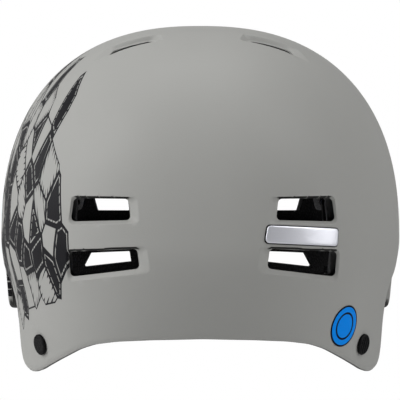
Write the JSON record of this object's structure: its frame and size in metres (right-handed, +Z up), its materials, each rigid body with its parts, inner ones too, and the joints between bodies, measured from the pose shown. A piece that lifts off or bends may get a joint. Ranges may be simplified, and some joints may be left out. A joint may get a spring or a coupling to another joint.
{
  "type": "mountain bike helmet",
  "caption": "Round hard-shell bicycle helmet with ear cut-outs, slot vents, foam liner, pads and a two-sided strap harness with a magnetic slide buckle.",
  "frame": {"origin": "the seat of the crown of the head, at the pads' crown inside the bowl", "axes": "+X to the wearer's right, +Y forward out of the face side, +Z up"},
  "size_m": [0.224, 0.274, 0.1911],
  "materials": {
    "shell_paint": "matte",
    "liner_foam": "foam",
    "bright_metal": "satin",
    "blue_label": "gloss",
    "pad_cloth": "brushed",
    "hook_tape": "matte",
    "damper_gel": "satin",
    "black_plastic": "fine grain",
    "webbing": "woven",
    "keeper_rubber": "matte",
    "magnet_metal": "plated"
  },
  "bodies": {
    "helmet": {"outer_shell": "shell_paint", "impact_liner": "liner_foam", "badge_plate": "bright_metal", "round_sticker": "blue_label", "hook_patches": "hook_tape", "brow_pad": "pad_cloth", "nape_pad": "pad_cloth", "front_crown_pad": "pad_cloth", "rear_crown_pad": "pad_cloth", "left_front_pad": "pad_cloth", "right_front_pad": "pad_cloth", "left_rear_pad": "pad_cloth", "right_rear_pad": "pad_cloth", "damper_1": "damper_gel", "damper_2": "damper_gel", "damper_3": "damper_gel", "damper_4": "damper_gel", "damper_5": "damper_gel", "damper_6": "damper_gel", "damper_7": "damper_gel", "damper_8": "damper_gel", "left_front_rivet": "black_plastic", "left_front_anchor": "black_plastic", "left_rear_rivet": "black_plastic", "left_rear_anchor": "black_plastic", "right_front_rivet": "black_plastic", "right_front_anchor": "black_plastic", "right_rear_rivet": "black_plastic", "right_rear_anchor": "black_plastic"},
    "left_harness": {"left_front_leg": "webbing", "left_rear_leg": "webbing", "left_divider": "black_plastic", "left_chin_webbing": "webbing", "left_buckle_half": "black_plastic", "left_magnets": "magnet_metal"},
    "right_harness": {"right_front_leg": "webbing", "right_rear_leg": "webbing", "right_divider": "black_plastic", "right_chin_webbing": "webbing", "right_buckle_half": "black_plastic", "right_magnets": "magnet_metal"},
    "left_lever": {"left_divider_lever": "black_plastic"},
    "right_lever": {"right_divider_lever": "black_plastic"},
    "chin_sleeve": {"chin_pad": "pad_cloth"},
    "keeper_ring": {"strap_keeper": "keeper_rubber"}
  },
  "joints": [
    {"name": "left_strap_swing", "type": "hinge", "parent": "helmet", "child": "left_harness", "pos_m": [-0.072, 0, -0.122], "axis": [0, 1, 0], "range_deg": [0, 150]},
    {"name": "right_strap_swing", "type": "hinge", "parent": "helmet", "child": "right_harness", "pos_m": [0.072, 0, -0.122], "axis": [0, -1, 0], "range_deg": [0, 150]},
    {"name": "left_divider_lever_turn", "type": "hinge", "parent": "left_harness", "child": "left_lever", "pos_m": [-0.07065, 0, -0.06127], "axis": [0, -1, 0], "range_deg": [0, 75]},
    {"name": "right_divider_lever_turn", "type": "hinge", "parent": "right_harness", "child": "right_lever", "pos_m": [0.07065, 0, -0.06127], "axis": [0, 1, 0], "range_deg": [0, 75]},
    {"name": "chin_pad_slide", "type": "hinge", "parent": "left_harness", "child": "chin_sleeve", "pos_m": [-0.012, 0, -0.076], "axis": [0, -1, 0], "range_deg": [-10, 6]},
    {"name": "keeper_slide", "type": "hinge", "parent": "right_harness", "child": "keeper_ring", "pos_m": [0.012, 0, -0.076], "axis": [0, 1, 0], "range_deg": [-10, 24]}
  ]
}
